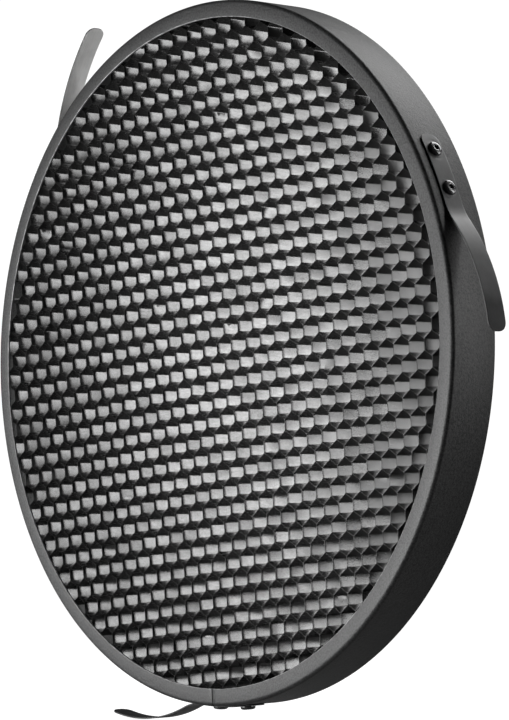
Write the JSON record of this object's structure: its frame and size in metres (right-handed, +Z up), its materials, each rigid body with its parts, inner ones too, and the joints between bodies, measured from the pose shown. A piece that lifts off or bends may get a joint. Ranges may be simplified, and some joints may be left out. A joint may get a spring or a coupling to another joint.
{
  "type": "honeycomb grid",
  "caption": "Round honeycomb light grid: rolled sheet ring with a front lip around a hexagonal foil core, with riveted leaf springs that grip inside a reflector's mouth.",
  "frame": {"origin": "on the ring's axis, in the plane of the rear rim that goes into the reflector's mouth", "axes": "+Y along the ring's axis, from the front (lit) face to the rear rim; +Z up as it is held; +X to the right seen from the front"},
  "size_m": [0.4349, 0.0323, 0.43],
  "materials": {
    "ring_paint": "satin black powder coat",
    "core_paint": "thin semi-gloss black coat on aluminium foil",
    "plate_steel": "black coated sheet",
    "spring_steel": "dark blued spring steel",
    "rivet_paint": "black blind rivet, semi-gloss",
    "mandrel_steel": "broken mandrel end"
  },
  "bodies": {
    "frame": {"frame_ring": "ring_paint", "honeycomb_core": "core_paint", "seam_plate": "plate_steel", "right_clip_base": "spring_steel", "right_rivet_1": "rivet_paint", "right_rivet_2": "rivet_paint", "right_rivet_1_mandrel": "mandrel_steel", "right_rivet_2_mandrel": "mandrel_steel", "left_clip_base": "spring_steel", "left_rivet_1": "rivet_paint", "left_rivet_2": "rivet_paint", "left_rivet_1_mandrel": "mandrel_steel", "left_rivet_2_mandrel": "mandrel_steel", "lower_clip_base": "spring_steel", "lower_rivet_1": "rivet_paint", "lower_rivet_2": "rivet_paint", "lower_rivet_1_mandrel": "mandrel_steel", "lower_rivet_2_mandrel": "mandrel_steel"},
    "right_arm": {"right_clip_arm": "spring_steel"},
    "left_arm": {"left_clip_arm": "spring_steel"},
    "lower_arm": {"lower_clip_arm": "spring_steel"}
  },
  "joints": [
    {"name": "right_clip_flex", "type": "hinge", "parent": "frame", "child": "right_arm", "pos_m": [0.19609, -0.0182, 0.07379], "axis": [0, 1, 0], "range_deg": [0, 14], "stiffness_Nm_per_rad": 4},
    {"name": "left_clip_flex", "type": "hinge", "parent": "frame", "child": "left_arm", "pos_m": [-0.16065, -0.0182, 0.13568], "axis": [0, 1, 0], "range_deg": [0, 24], "stiffness_Nm_per_rad": 4},
    {"name": "lower_clip_flex", "type": "hinge", "parent": "frame", "child": "lower_arm", "pos_m": [-0.01793, -0.0182, -0.20975], "axis": [0, 1, 0], "range_deg": [0, 22], "stiffness_Nm_per_rad": 4}
  ]
}
